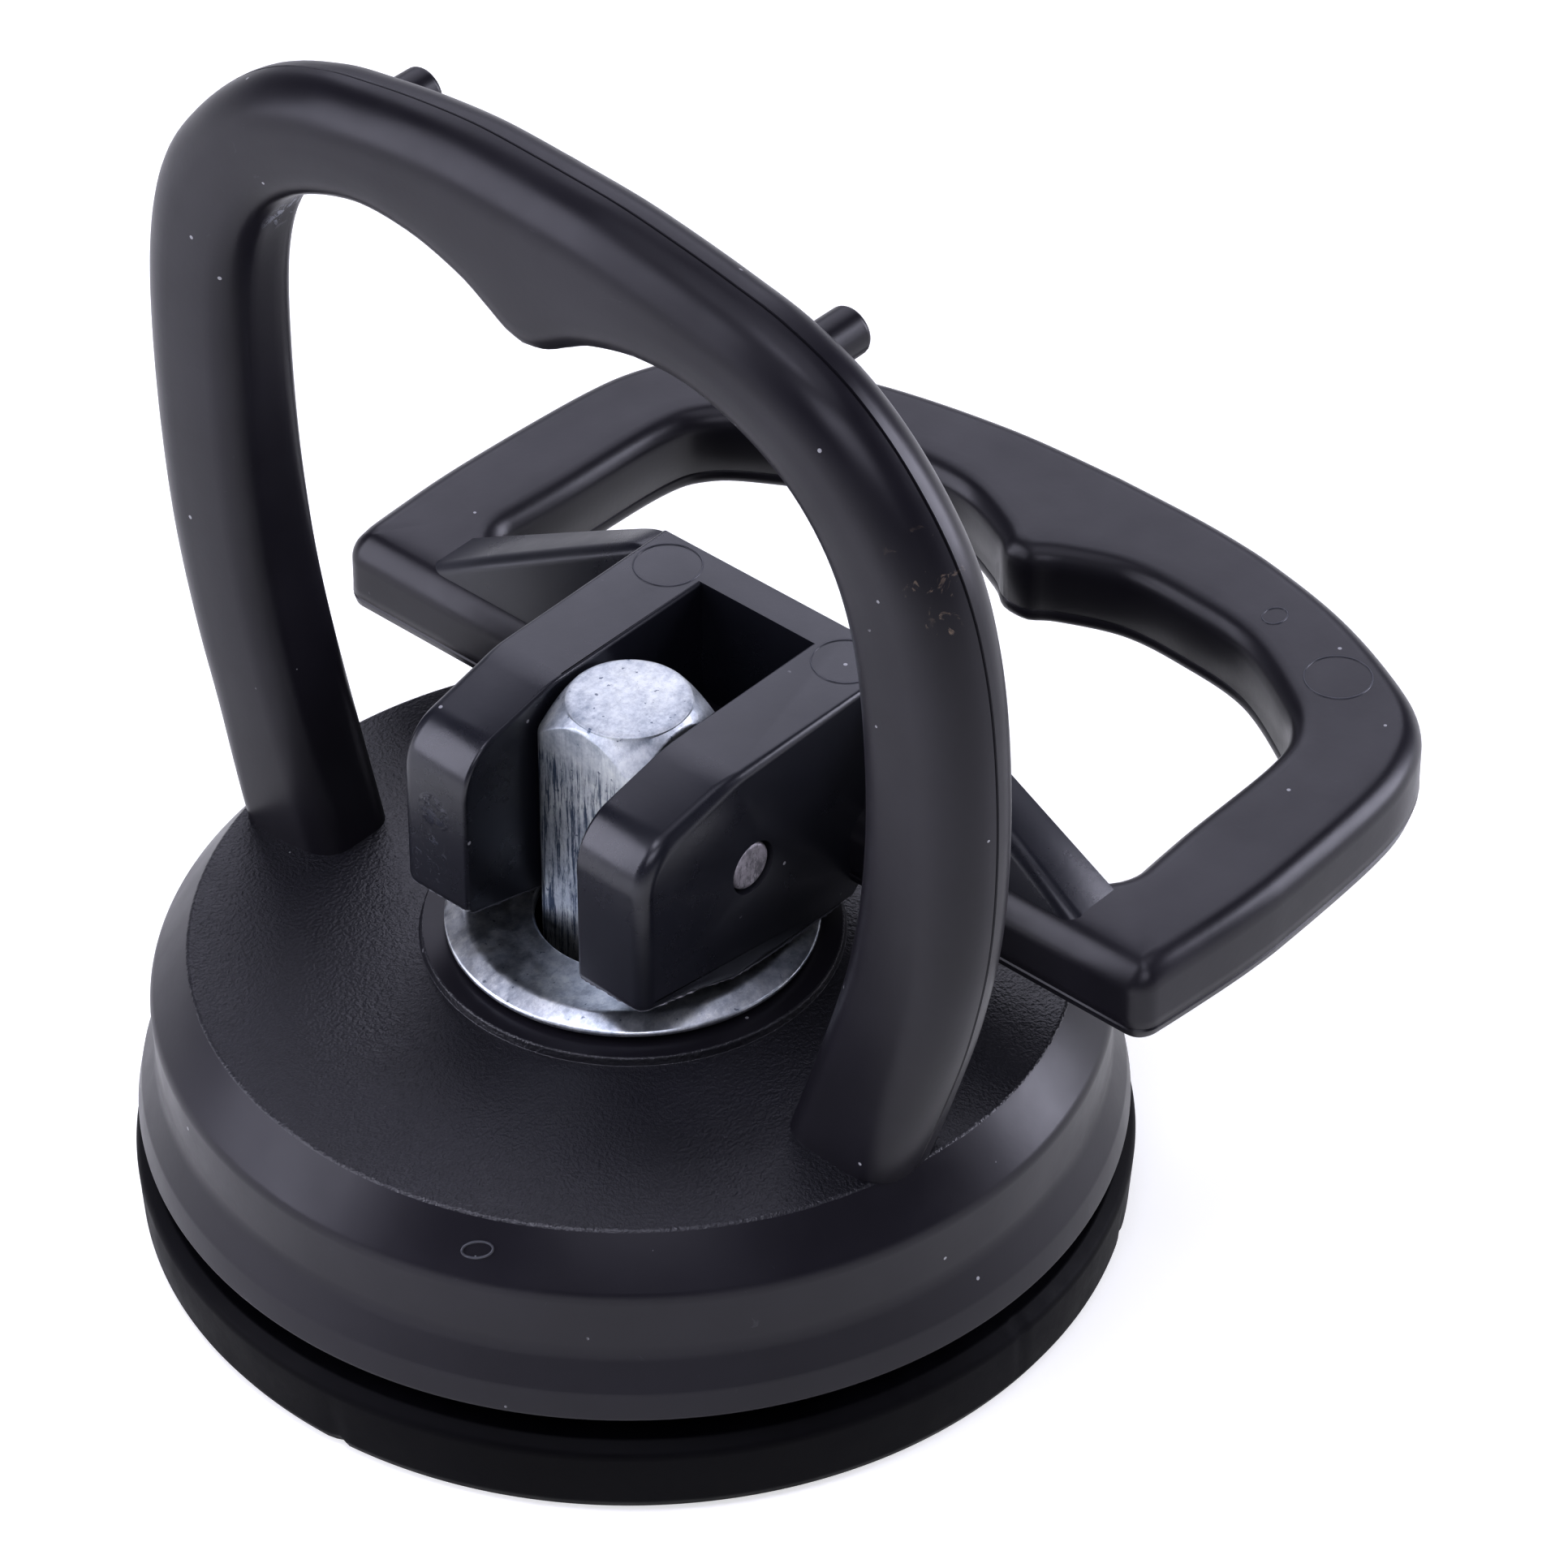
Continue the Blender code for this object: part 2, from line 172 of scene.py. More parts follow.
def moulded_plastic(
    name, dark, light, rough, grain_scale, grain_depth, scuffs=0.25, wear=(), shine=0.42
):
    """Black moulded plastic: soft tone changes, fine grain, faint scuffs, some dust and local wear marks."""
    mat, tree, shader = new_material(name)
    vector = coords(tree)
    tone = ramp(tree, noise(tree, vector, 90.0, 5.0, 0.6), [(0.35, dark), (0.72, light)])
    streak = noise(tree, coords(tree, (900.0, 260.0, 520.0)), 1.0, 6.0, 0.7, 2.2)
    scuff = ramp(tree, streak, [(0.66, gray(0.0)), (0.70, gray(scuffs)), (0.74, gray(0.0))])
    patch = ramp(tree, noise(tree, vector, 70.0, 2.0, 0.5), [(0.52, gray(0.0)), (0.68, gray(1.0))])
    scuffed = mix(tree, math(tree, "MULTIPLY", scuff, patch), tone, (0.11, 0.11, 0.125))
    cells = add(tree, "ShaderNodeTexVoronoi", Scale=420.0)
    tree.links.new(vector, cells.inputs["Vector"])
    near = math(tree, "LESS_THAN", cells.outputs["Distance"], 0.05)
    rare = ramp(tree, noise(tree, vector, 260.0, 1.0), [(0.505, gray(0.0)), (0.55, gray(1.0))])
    dusty = mix(tree, math(tree, "MULTIPLY", near, rare), scuffed, (0.30, 0.30, 0.31))
    dents = []
    for centre, radius, tint, scale, share, depth in wear:
        near = spot(tree, vector, centre, radius)
        grit = noise(tree, vector, scale, 4.0, 0.65, 1.2)
        shown = ramp(tree, grit, [(share, gray(0.0)), (share + 0.05, gray(1.0))])
        fleck = math(tree, "MULTIPLY", near, shown)
        dusty = mix(tree, fleck, dusty, tint)
        dents.append((fleck, 0.6, depth))
    tree.links.new(dusty, shader.inputs["Base Color"])
    gloss = noise(tree, vector, 160.0, 6.0, 0.65)
    gloss = ramp(tree, gloss, [(0.3, gray(rough - 0.05)), (0.7, gray(rough + 0.06))])
    tree.links.new(gloss, shader.inputs["Roughness"])
    shader.inputs["Specular IOR Level"].default_value = shine
    bumps(
        tree,
        shader,
        [
            (noise(tree, vector, 45.0, 3.0), 0.25, 0.0004),
            (noise(tree, vector, grain_scale, 2.0), 0.5, grain_depth),
        ]
        + dents,
    )
    return mat


def rubber(name):
    """Nearly black rubber, matt, with a faint unevenness."""
    mat, tree, shader = new_material(name)
    vector = coords(tree)
    tone = noise(tree, vector, 120.0, 6.0, 0.65)
    tree.links.new(
        ramp(tree, tone, [(0.35, (0.0022, 0.0021, 0.0033)), (0.7, (0.0046, 0.0045, 0.0066))]),
        shader.inputs["Base Color"],
    )
    tree.links.new(
        ramp(tree, noise(tree, vector, 240.0, 6.0, 0.7), [(0.3, gray(0.42)), (0.7, gray(0.60))]),
        shader.inputs["Roughness"],
    )
    shader.inputs["Specular IOR Level"].default_value = 0.08
    bumps(
        tree,
        shader,
        [
            (noise(tree, vector, 300.0, 4.0), 0.3, 0.00008),
            (noise(tree, vector, 5200.0, 2.0), 0.4, 0.000012),
        ],
    )
    return mat


def metal(name, tones, stretch, streaks, rough, depth, fade=None):
    """Plated or cut metal: cloudy tone, drawn streaks that fade out above a height in mm, fine pits."""
    mat, tree, shader = new_material(name)
    vector = coords(tree)
    cloud = math(
        tree,
        "ADD",
        math(tree, "MULTIPLY", noise(tree, vector, 260.0, 5.0, 0.6), 0.55),
        math(tree, "MULTIPLY", noise(tree, vector, 1500.0, 4.0, 0.7), 0.45),
    )
    tone = ramp(tree, cloud, [(0.36, tones[0]), (0.50, tones[1]), (0.62, tones[2])])
    lines = noise(tree, coords(tree, stretch), 1.0, 6.0, 0.8)
    mask = ramp(tree, lines, [(0.43, gray(streaks)), (0.515, gray(0.0))])
    if fade:
        split = tree.nodes.new("ShaderNodeSeparateXYZ")
        tree.links.new(vector, split.inputs[0])
        height = math(tree, "MULTIPLY", split.outputs[2], 20.0)  # 50 mm becomes 1.0, so 1 mm is 0.02
        below = ramp(tree, height, [(fade * 0.02 - 0.02, gray(1.0)), (fade * 0.02, gray(0.15))])
        mask = math(tree, "MULTIPLY", mask, below)
    pits = ramp(tree, noise(tree, vector, 2300.0, 2.0, 0.5), [(0.27, gray(0.7)), (0.31, gray(0.0))])
    shade = mix(tree, pits, mix(tree, mask, tone, tones[3]), tones[3])
    tree.links.new(shade, shader.inputs["Base Color"])
    shader.inputs["Metallic"].default_value = 1.0
    tree.links.new(
        ramp(tree, noise(tree, vector, 900.0, 4.0, 0.6), [(0.3, gray(rough)), (0.7, gray(rough + 0.14))]),
        shader.inputs["Roughness"],
    )
    bumps(
        tree,
        shader,
        [
            (lines, 0.5, depth),
            (noise(tree, vector, 1500.0, 4.0, 0.7), 0.35, 0.00003),
        ],
    )
    return mat


# Wear marks: centre and radius in mm, colour, scale of the noise that breaks the mark up, the noise level
# above which it shows, and its bump depth in metres.
BODY_WEAR = (
    ((-7.4, 16.4, 32.4), 2.6, (0.10, 0.11, 0.15), 900.0, 0.56, 0.00010),
    ((-7.4, -27.6, 59.2), 3.4, (0.16, 0.12, 0.09), 700.0, 0.60, 0.00002),
    ((-7.4, -28.2, 56.2), 1.6, (0.32, 0.24, 0.17), 1100.0, 0.60, 0.00004),
    ((-5.0, 19.3, 58.6), 1.8, (0.20, 0.21, 0.24), 1300.0, 0.52, 0.00004),
)
LEVER_WEAR = (
    ((-8.7, 6.3, 27.4), 1.2, (0.035, 0.038, 0.052), 1500.0, 0.48, 0.00016),
    ((-8.7, 7.2, 24.0), 2.4, (0.045, 0.05, 0.07), 2600.0, 0.60, 0.00004),
)
body_plastic = moulded_plastic(
    "plastic_satin",
    (0.0090, 0.0080, 0.0120),
    (0.0135, 0.0122, 0.0180),
    0.33, 2600.0, 0.000006,
    wear=BODY_WEAR,
    shine=0.4,
)
dome_plastic = moulded_plastic(
    "plastic_textured", (0.0065, 0.0064, 0.0100), (0.0100, 0.0098, 0.0150), 0.38, 4600.0, 0.00016, shine=0.7
)
lever_plastic = moulded_plastic(
    "plastic_lever",
    (0.0090, 0.0096, 0.0150),
    (0.0142, 0.0150, 0.0225),
    0.29, 2600.0, 0.000008,
    wear=LEVER_WEAR,
    shine=0.65,
)
loop_plastic = moulded_plastic(
    "plastic_loop", (0.0095, 0.0086, 0.0126), (0.0145, 0.0132, 0.0190), 0.33, 2600.0, 0.000008, shine=0.48
)
# Flash fins and raised rings are real moulded detail. Their grey, lighter than the black plastic, is painted
# highlight along their thin edges.
flash_highlight_plastic = moulded_plastic(
    "plastic_flash_highlight", (0.05, 0.052, 0.06), (0.09, 0.092, 0.105), 0.30, 2600.0, 0.000006, scuffs=0.0
)
pad_rubber = rubber("rubber_satin")
# Metal tones: dark cloud, middle, light cloud, streaks and pits.
ZINC_TONES = ((0.40, 0.435, 0.475), (0.60, 0.63, 0.645), (0.72, 0.745, 0.73), (0.07, 0.10, 0.155))
WASHER_TONES = ((0.44, 0.48, 0.53), (0.70, 0.73, 0.75), (0.90, 0.92, 0.90), (0.10, 0.13, 0.18))
stud_zinc = metal("zinc_drawn", ZINC_TONES, (3000.0, 3000.0, 230.0), 0.95, 0.42, 0.00006, fade=31.0)
washer_zinc = metal("zinc_pressed", WASHER_TONES, (700.0, 1100.0, 900.0), 0.22, 0.30, 0.00001)
STEEL_TONES = ((0.42, 0.40, 0.42), (0.60, 0.57, 0.60), (0.80, 0.77, 0.80), (0.14, 0.14, 0.15))
pin_steel = metal("steel_cut", STEEL_TONES, (1500.0, 500.0, 2600.0), 0.6, 0.5, 0.00020)


# ---------------------------------------------------------------- mesh tools

def rounded(corners, steps=6):
    """Closed outline whose corners (x, y, radius) are replaced by arcs."""
    outline = []
    count = len(corners)
    for i, (x, y, radius) in enumerate(corners):
        here = Vector((x, y))
        back = (Vector(corners[i - 1][:2]) - here).normalized()
        ahead = (Vector(corners[(i + 1) % count][:2]) - here).normalized()
        if radius <= 0.0:
            outline.append((x, y))
            continue
        half = back.angle(ahead) / 2
        centre = here + (back + ahead).normalized() * (radius / sin(half))
        start = here + back * (radius / tan(half)) - centre
        sweep = start.angle_signed(here + ahead * (radius / tan(half)) - centre)
        for step in range(steps + 1):
            outline.append(tuple(centre + Matrix.Rotation(-sweep * step / steps, 2) @ start))
    return outline


def smooth_path(keys, steps=10):
    """Catmull-Rom curve through the key points."""
    path = []
    last = len(keys) - 1
    for i in range(last):
        p0, p1, p2, p3 = (np.array(keys[min(max(k, 0), last)], float) for k in range(i - 1, i + 3))
        for step in range(steps):
            t = step / steps
            square = (2 * p0 - 5 * p1 + 4 * p2 - p3) * t**2
            cube = (3 * p1 - p0 - 3 * p2 + p3) * t**3
            path.append(0.5 * (2 * p1 + (p2 - p0) * t + square + cube))
    path.append(np.array(keys[last], float))
    return np.array(path)


def resample(path, count):
    """The same open path with evenly spaced points."""
    path = np.asarray(path, float)
    run = np.concatenate([[0.0], np.cumsum(np.linalg.norm(np.diff(path, axis=0), axis=1))])
    want = np.linspace(0.0, run[-1], count)
    return np.stack([np.interp(want, run, path[:, k]) for k in range(path.shape[1])], -1)


def normals(path):
    """Left-hand unit normals of an open path."""
    along = np.gradient(path, axis=0)
    along /= np.linalg.norm(along, axis=1)[:, None]
    return np.stack([-along[:, 1], along[:, 0]], -1)


def grid(name, rows, mat, wrap_rows=False, wrap_points=False, cap_ends=False, sharp=40.0):
    """Quad mesh over rows[i][j] in millimetres."""
    rows = np.asarray(rows, float)
    n, m = rows.shape[:2]
    verts = (rows.reshape(-1, 3) * MM).tolist()
    faces = []
    for i in range(n if wrap_rows else n - 1):
        for j in range(m if wrap_points else m - 1):
            a, b = i * m + j, i * m + (j + 1) % m
            c, d = ((i + 1) % n) * m + (j + 1) % m, ((i + 1) % n) * m + j
            faces.append((a, b, c, d))
    if cap_ends:
        faces.append(tuple(range(m)))
        faces.append(tuple(reversed(range((n - 1) * m, n * m))))
    mesh = bpy.data.meshes.new(name)
    mesh.from_pydata(verts, [], faces)
    return finish_mesh(name, mesh, mat, sharp)


def finish_mesh(name, mesh, mat, sharp=40.0):
    """Object from a mesh, smooth shaded except at edges sharper than the angle."""
    work = bmesh.new()
    work.from_mesh(mesh)
    bmesh.ops.remove_doubles(work, verts=work.verts, dist=1e-8)
    bmesh.ops.recalc_face_normals(work, faces=work.faces)
    work.to_mesh(mesh)
    work.free()
    mesh.shade_smooth()
    mesh.set_sharp_from_angle(angle=radians(sharp))
    mesh.materials.append(mat)
    obj = bpy.data.objects.new(name, mesh)
    bpy.context.scene.collection.objects.link(obj)
    return obj


def lathe(name, profile, mat, steps=192, warp=None, sharp=40.0, closed=True):
    """Turned solid from a profile of (radius, z), with an optional warp(radius, z, angle)."""
    rows = []
    for i in range(steps):
        angle = 2 * pi * i / steps
        ring = [warp(r, z, angle) if warp else (r, z) for r, z in profile]
        rows.append([(r * cos(angle), r * sin(angle), z) for r, z in ring])
    return grid(name, rows, mat, wrap_rows=True, wrap_points=closed, sharp=sharp)


def prism(name, outline, low, high, axis):
    """Straight solid over a closed outline, between two levels on X or Y."""
    order = {"X": (2, 0, 1), "Y": (0, 2, 1)}[axis]
    mesh = bpy.data.meshes.new(name)
    verts = []
    for level in (low, high):
        for a, b in outline:
            point = (a, b, level)
            verts.append(tuple(point[k] * MM for k in order))
    n = len(outline)
    faces = [(i, (i + 1) % n, n + (i + 1) % n, n + i) for i in range(n)]
    faces += [tuple(range(n)), tuple(reversed(range(n, 2 * n)))]
    mesh.from_pydata(verts, [], faces)
    work = bmesh.new()
    work.from_mesh(mesh)
    bmesh.ops.recalc_face_normals(work, faces=work.faces)
    work.to_mesh(mesh)
    work.free()
    obj = bpy.data.objects.new(name, mesh)
    bpy.context.scene.collection.objects.link(obj)
    return obj


def applied(obj):
    """Replace the object's mesh by its evaluated one and drop the modifiers."""
    graph = bpy.context.evaluated_depsgraph_get()
    graph.update()
    mesh = bpy.data.meshes.new_from_object(obj.evaluated_get(graph))
    obj.modifiers.clear()
    obj.data = mesh
    return obj


def join(obj, others, operation="UNION"):
    """Boolean of the object with all the others, which are used up."""
    for other in others:
        boolean = obj.modifiers.new("join", "BOOLEAN")
        boolean.solver = "EXACT"
        boolean.operation = operation
        boolean.object = other
    applied(obj)
    for other in others:
        bpy.data.objects.remove(other, do_unlink=True)
    return obj


def piece(obj, body, slot, *nodes):
    """Put the object on a body and let it stand in for CAD nodes. The slot is not used."""
    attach(obj, body)
    if nodes:
        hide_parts(*nodes)
    return obj


# ---------------------------------------------------------------- rubber pad

# Nicks in the pad's rim: angle, depth in mm, half width in radians, height in mm.
NICKS = (
    (radians(-173.2), 0.34, 0.019, 0.3),
    (radians(-89.0), 0.16, 0.015, 4.0),
    (radians(-62.0), 0.2, 0.02, 0.5),
)


def pad_warp(r, z, angle):
    """Small nicks in the moulded rim, and a very slight waviness of its edge."""
    if r < 26.0 or z > 5.2:
        return r, z
    for at, depth, width, level in NICKS:
        away = abs((angle - at + pi) % (2 * pi) - pi)
        r -= depth * max(0.0, 1.0 - away / width) * max(0.0, 1.0 - abs(z - level) / 1.5)
    return r + 0.03 * sin(5 * angle) * (z / 5.0), z


pad_profile = rounded(
    [
        (5.3, 10.0, 0.3),
        (12.4, 10.0, 0.7),
        (13.6, 8.0, 0.6),
        (24.6, 8.0, 0.4),
        (24.6, 4.85, 0.25),
        (27.0, 4.82, 0.3),
        (27.78, 4.2, 0.7),
        (27.55, 0.75, 0.6),
        (27.1, 0.0, 0.35),
        (25.4, 0.0, 0.2),
        (24.6, 0.35, 0.3),
        (13.0, 0.5, 2.0),
        (0.0, 0.5, 0.0),
        (0.0, 5.7, 0.0),
        (10.3, 5.7, 0.1),
        (10.3, 8.7, 0.1),
        (5.3, 8.7, 0.1),
    ]
)
pad = lathe("suction_pad", pad_profile, pad_rubber, steps=360, warp=pad_warp)
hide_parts("rubber_pad")
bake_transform(pad, "base", "drawbar", start=(0.0, 0.0, 0.0), end=(0.0, 0.0, 0.03))
# The hub rides fully with the stud, the rim outside HELD_RADIUS stays on the floor.
HELD_RADIUS = 22.5
STRETCH_WIDTH = 10.0
for vert, weight in zip(pad.data.vertices, pad.data.attributes["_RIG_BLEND"].data):
    t = min(max((HELD_RADIUS - hypot(vert.co.x, vert.co.y) / MM) / STRETCH_WIDTH, 0.0), 1.0)
    weight.value = t * t * (3.0 - 2.0 * t)

# ---------------------------------------------------------------- housing

dome_profile = rounded(
    [
        (5.6, 17.98, 0.2),
        (11.56, 17.98, 0.15),
        (11.64, 17.5, 0.06),
        (19.5, 17.44, 8.0),
        (24.25, 17.16, 0.35),
        (26.45, 14.2, 1.2),
        (26.28, 10.3, 2.2),
        (27.2, 8.15, 1.1),
        (27.5, 6.45, 0.25),
        (25.0, 6.45, 0.25),
        (25.0, 8.3, 0.1),
        (23.6, 8.3, 0.1),
        (23.6, 12.4, 0.5),
        (21.4, 14.6, 0.5),
        (5.6, 14.6, 0.1),
    ],
    steps=8,
)


def dome_warp(r, z, angle):
    """A slight waviness of the flank and of the top."""
    if r < 12.0 or z < 6.6:
        return r, z
    return r + 0.02 * sin(3 * angle + 0.7), z + (0.015 * sin(2 * angle) if z > 17.0 else 0.0)


dome = lathe("dome_shell", dome_profile, body_plastic, steps=256, warp=dome_warp, sharp=60.0)
dome.data.materials.append(dome_plastic)  # the textured top, between the hub ring and the chamfer
for face in dome.data.polygons:
    centre = face.center / MM
    if centre.z > 16.9 and 11.3 < hypot(centre.x, centre.y) < 24.35:
        face.material_index = 1
piece(dome, "base", "black_plastic", "housing")

arch_outer_half = [
    (0.0, 70.75),
    (4.5, 70.65),
    (8.5, 70.15),
    (12.2, 69.45),
    (15.8, 68.55),
    (20.0, 66.6),
    (23.8, 63.3),
    (26.9, 58.8),
    (28.5, 53.0),
    (29.0, 45.0),
    (28.6, 36.0),
    (27.3, 28.5),
    (25.4, 21.8),
    (23.3, ARCH_FOOT_Z),
]
arch_inner_half = [
    (0.0, 60.05),
    (1.3, 60.35),
    (2.8, 61.25),
    (4.6, 62.2),
    (8.0, 63.1),
    (12.0, 63.0),
    (16.5, 61.1),
    (19.4, 58.1),
    (21.1, 53.6),
    (21.7, 47.0),
    (21.5, 38.5),
    (20.1, 29.8),
    (15.9, ARCH_FOOT_Z),
]
ARCH_POINTS = 201
INNER_ROUND = 1.9
OUTER_ROUND = 2.9
ARCH_BOW = 0.45  # how far the legs bow towards -Y half-way up
ARCH_SHIFT = 0.2  # how far the whole arch stands towards -Y
ARCH_SKEW = 0.03  # rise of the crown per millimetre towards +Y


def both_sides(half):
    """Path from the foot at -Y over the crown to the foot at +Y."""
    half = np.asarray(half)
    return np.concatenate([(half * (-1.0, 1.0))[::-1], half[1:]])


arch_outer = resample(both_sides(smooth_path(arch_outer_half)), ARCH_POINTS)
arch_inner = resample(both_sides(smooth_path(arch_inner_half)), ARCH_POINTS)
# The crown is slightly flattened beside the middle, and the leg at +Y bulges a little.
crown = arch_outer[:, 1] > 45.0
arch_outer[:, 1] -= 0.5 * np.exp(-(((arch_outer[:, 0] + 5.0) / 13.0) ** 2)) * crown
up_the_leg = np.clip((arch_outer[:, 1] - 17.0) / 45.0, 0.0, 1.0)
arch_outer[:, 0] += 0.25 * (arch_outer[:, 0] > 0.0) * np.sin(pi * up_the_leg)
arch_out_normal = normals(arch_outer)
arch_in_normal = normals(arch_inner)


def arch_section():
    """Points round the section as (share of the way from inner to outer outline, inset, x)."""
    section = []
    for x in np.linspace(-1.1, 1.1, 5)[:-1]:
        section.append((0.0, 0.0, x))
    for a in np.linspace(0.0, pi / 2, 9):
        section.append((0.0, INNER_ROUND * (1 - cos(a)), 1.1 + 1.75 * sin(a)))
    for share in (0.2, 0.4, 0.6, 0.8):
        section.append((share, None, ARCH_HALF - 0.05 * abs(2 * share - 1) ** 2))
    for a in np.linspace(0.0, pi / 2, 12)[:-1]:
        section.append((1.0, OUTER_ROUND * (1 - sin(a)), 0.1 + (ARCH_HALF - 0.15) * cos(a)))
    section += [(1.0, 0.0, 0.10), (1.0, 0.12, 0.03), (1.0, 0.12, -0.03), (1.0, 0.0, -0.10)]
    for a in np.linspace(pi / 2, 0.0, 12)[1:]:
        section.append((1.0, OUTER_ROUND * (1 - sin(a)), -0.1 - (ARCH_HALF - 0.15) * cos(a)))
    for share in (0.8, 0.6, 0.4, 0.2):
        section.append((share, None, -ARCH_HALF + 0.05 * abs(2 * share - 1) ** 2))
    for a in np.linspace(pi / 2, 0.0, 9)[:-1]:
        section.append((0.0, INNER_ROUND * (1 - cos(a)), -1.1 - 1.75 * sin(a)))
    return section


def arch_rows():
    """Section rows along the arch: less round outside towards the feet, and skewed like the real one."""
    rows = []
    section = arch_section()
    for i in range(ARCH_POINTS):
        t = min(max((arch_outer[i][1] - 16.5) / 9.5, 0.0), 1.0)
        soft = 0.62 + 0.38 * t * t * (3.0 - 2.0 * t)
        inner = arch_inner[i] + arch_in_normal[i] * INNER_ROUND
        outer = arch_outer[i] - arch_out_normal[i] * OUTER_ROUND * soft
        row = []
        for share, inset, x in section:
            if inset is None:
                y, z = inner * (1 - share) + outer * share
            elif share == 0.0:
                y, z = arch_inner[i] + arch_in_normal[i] * inset
            else:
                y, z = arch_outer[i] - arch_out_normal[i] * inset * soft
            row.append((x, y, z))
        rows.append(row)
    rows = np.array(rows)
    up = np.clip((rows[..., 2] - 15.0) / 45.0, 0.0, 1.0)
    rows[..., 1] -= ARCH_BOW * np.sin(pi * up) + ARCH_SHIFT
    rows[..., 2] += ARCH_SKEW * rows[..., 1] * up
    return rows


def leaned(points):
    """Lean the arch back from its feet and put it in its place."""
    points = np.asarray(points, float)
    x, up = points[..., 0], points[..., 2] - 17.0
    leaned_x = x * cos(ARCH_LEAN) - up * sin(ARCH_LEAN) + ARCH_X
    return np.stack([leaned_x, points[..., 1], 17.0 + x * sin(ARCH_LEAN) + up * cos(ARCH_LEAN)], -1)


arch = grid("carrying_arch", leaned(arch_rows()), body_plastic, wrap_points=True, cap_ends=True, sharp=50.0)
piece(arch, "base", "black_plastic")

for label, y, z in (("left", 14.4, 65.2), ("right", -14.8, 63.8)):
    peg_profile = [(0.0, -2.0), (1.4, -2.0), (1.35, 3.5)]
    peg_profile += [(1.35 - 0.3 * (1 - cos(a)), 3.55 + 0.3 * sin(a)) for a in np.linspace(0.0, pi / 2, 5)]
    peg_profile += [(0.5, 3.88), (0.0, 3.85)]
    peg = lathe("stop_peg_" + label, peg_profile, body_plastic, steps=40, closed=False, sharp=60.0)
    peg.matrix_world = Matrix.Translation(Vector((-3.0, y, z)) * MM) @ Matrix.Rotation(pi / 2, 4, "Y")
    piece(peg, "base", "black_plastic")

# ---------------------------------------------------------------- washer, stud, pin and plate

washer_profile = rounded(
    [
        (5.35, 18.75, 0.1),
        (5.5, 18.97, 0.12),
        (6.6, 18.88, 1.0),
        (8.3, 19.04, 1.5),
        (9.1, 19.12, 0.8),
        (10.27, 18.62, 0.2),
        (10.27, 18.35, 0.12),
        (10.0, 18.22, 0.1),
        (5.35, 18.22, 0.1),
    ]
)
washer = lathe("wear_washer", washer_profile, washer_zinc, steps=192, sharp=60.0)
piece(washer, "base", "zinc_plate", "washer")

plate_profile = rounded([(2.9, 8.4, 0.1), (10.0, 8.4, 0.3), (10.0, 6.9, 0.3), (2.9, 6.9, 0.1)], steps=4)
plate = lathe("moulded_in_plate", plate_profile, washer_zinc, steps=96)
piece(plate, "drawbar", "zinc_plate", "insert_plate")


CHAMFER_LOW_Z = 31.3
CHAMFER_LOW_R = 5.02
CHAMFER_RUN = 1.62


def square_radius(angle):
    """Distance from the centre to a square bar's side, with its corners rounded."""
    corner = 0.6
    a = abs((angle + pi / 4) % (pi / 2) - pi / 4)
    flat = STUD_HALF / cos(a)
    c = STUD_HALF - corner
    along = c * (cos(a) + sin(a))
    arc = along + (max(along**2 - 2 * c * c + corner**2, 0.0)) ** 0.5
    return min(flat, arc) if flat * sin(a) > c else flat


def stud_rows():
    """Square bar under a turned chamfer, which cuts an arc into each side; neck and rivet head below."""
    rows = []
    slope = (STUD_TOP_Z - CHAMFER_LOW_Z) / CHAMFER_RUN
    angles = 2 * pi * np.arange(240) / 240
    for angle in angles:
        side = square_radius(angle)
        meet = CHAMFER_LOW_Z + (CHAMFER_LOW_R - side) * slope
        row = [(0.0, 6.0), (4.3, 6.0), (4.6, 6.3), (2.6, 6.6), (2.6, 8.7), (side - 0.2, 8.7), (side, 8.9)]
        row += [(side, z) for z in np.linspace(10.0, meet - 0.22, 14)]
        row += [(side - 0.02, meet - 0.08), (side - 0.08, meet + 0.02)]
        for t in (0.0, 0.3, 0.6, 0.9):
            row.append((side - 0.10 - (side - 3.5) * t, meet + 0.04 + (STUD_TOP_Z - 0.22 - meet) * t))
        row += [(3.42, STUD_TOP_Z - 0.10), (3.30, STUD_TOP_Z - 0.03), (3.1, STUD_TOP_Z)]
        row += [(r, STUD_TOP_Z) for r in (2.3, 1.5, 0.8, 0.0)]
        rows.append([(r * cos(angle), r * sin(angle), z) for r, z in row])
    return rows


stud = grid("square_stud", stud_rows(), stud_zinc, wrap_rows=True, sharp=24.0)
piece(stud, "drawbar", "zinc_plate", "stud")

pin_profile = [(0.0, 8.62), (0.45, 8.70), (0.9, 8.63), (1.2, 8.68), (1.36, 8.60), (1.42, 8.48)]
pin_profile += [(1.42, -8.48), (1.36, -8.60), (1.2, -8.68), (0.9, -8.63), (0.45, -8.70), (0.0, -8.62)]
pin = lathe("pivot_rod", pin_profile, pin_steel, steps=48, closed=False, sharp=60.0)
pin.matrix_world = Matrix.Translation(Vector((0.0, 0.0, PIN_Z)) * MM) @ Matrix.Rotation(-pi / 2, 4, "X")
piece(pin, "drawbar", "pin_steel", "pivot_pin")

# ---------------------------------------------------------------- lever: cheeks, cross bar and webs

cheek_outline = rounded(
    [
        (-8.65, 31.7, 3.2),
        (-1.6, CHEEK_TOP_Z, 8.0),
        (LEVER_BACK_X, CHEEK_TOP_Z, 0.0),
        (LEVER_BACK_X, 20.6, 0.0),
        (9.4, 20.6, 0.0),
        (8.2, 19.45, 0.4),
        (-1.5, 19.45, 2.0),
        (-4.6, 20.35, 2.0),
        (-8.65, 21.35, 0.8),
    ],
    steps=10,
)


